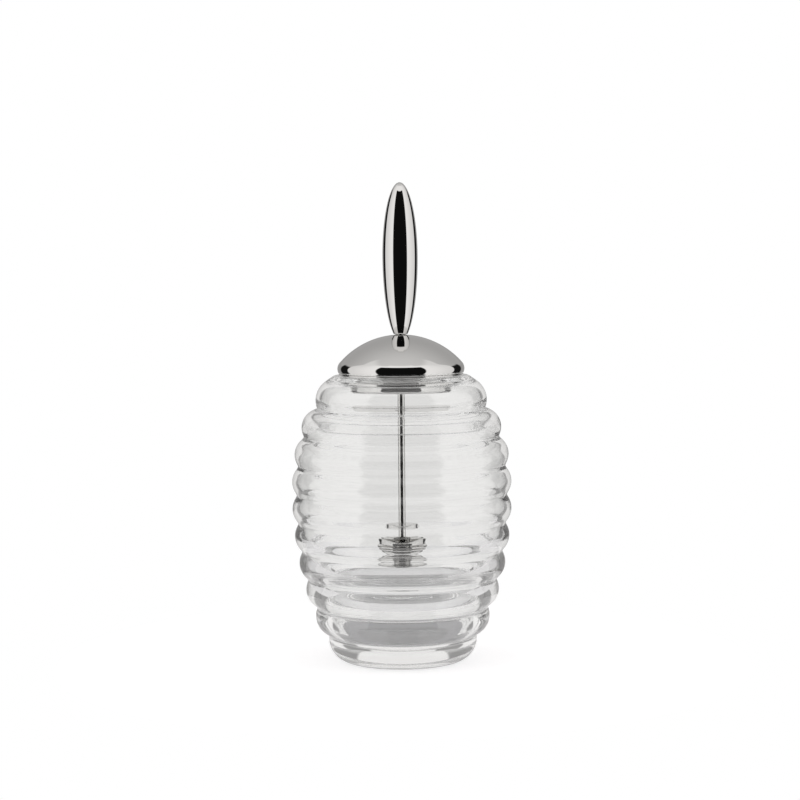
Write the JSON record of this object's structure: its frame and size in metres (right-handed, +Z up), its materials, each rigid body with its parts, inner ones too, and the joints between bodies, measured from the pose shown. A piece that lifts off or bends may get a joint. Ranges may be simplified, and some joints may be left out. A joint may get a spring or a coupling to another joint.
{
  "type": "honey pot",
  "caption": "Ribbed clear glass honey pot with a domed steel lid that lifts straight off, with a spindle handle above and a ringed honey dipper hanging below.",
  "frame": {"origin": "middle of the jar's foot, on the surface that it stands on", "axes": "+Z up along the axis of the jar, the lid and the dipper"},
  "size_m": [0.0952, 0.0952, 0.2072],
  "materials": {
    "clear_glass": "clear, fire-polished",
    "polished_steel": "mirror polished stainless steel",
    "turned_steel": "turned, satin"
  },
  "bodies": {
    "jar": {"jar": "clear_glass"},
    "lid": {"lid_dome": "polished_steel", "lid_pan": "polished_steel", "dome_bush": "turned_steel", "pan_bush": "turned_steel"},
    "dipper": {"handle": "polished_steel", "thrust_washer": "turned_steel", "lock_nut": "turned_steel", "dipper_rod": "polished_steel", "dipper_head": "polished_steel"}
  },
  "joints": [
    {"name": "lid_lift", "type": "slide", "parent": "jar", "child": "lid", "axis": [0, 0, 1], "range_m": [0, 0.099]},
    {"name": "dipper_twirl", "type": "hinge", "parent": "lid", "child": "dipper", "pos_m": [0, 0, 0.1416], "axis": [0, 0, 1], "continuous": true}
  ]
}
